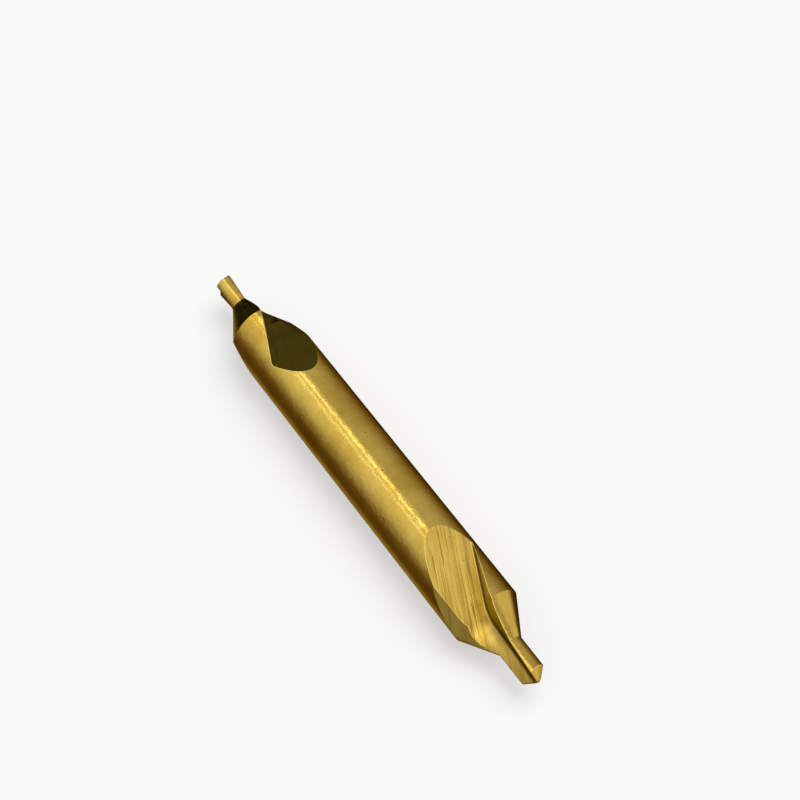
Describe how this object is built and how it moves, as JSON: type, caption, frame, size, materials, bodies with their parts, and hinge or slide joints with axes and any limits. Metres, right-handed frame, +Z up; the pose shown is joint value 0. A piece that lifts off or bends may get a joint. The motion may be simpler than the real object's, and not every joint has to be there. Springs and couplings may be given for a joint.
{
  "type": "centre drill",
  "caption": "Centre drill with a plain round shank and, at either end, a short fluted pilot that widens into a countersink cone, for starting holes on a lathe.",
  "frame": {"origin": "middle of the shank, on the tool axis", "axes": "+X along the tool axis towards the point nearest the camera, +Z up from the surface it lies on"},
  "size_m": [0.05, 0.0063, 0.0062],
  "materials": {
    "coated_steel": "ground high-speed steel with a gold-coloured nitride coating"
  },
  "bodies": {
    "root": {"centre_drill": "coated_steel"}
  },
  "joints": []
}
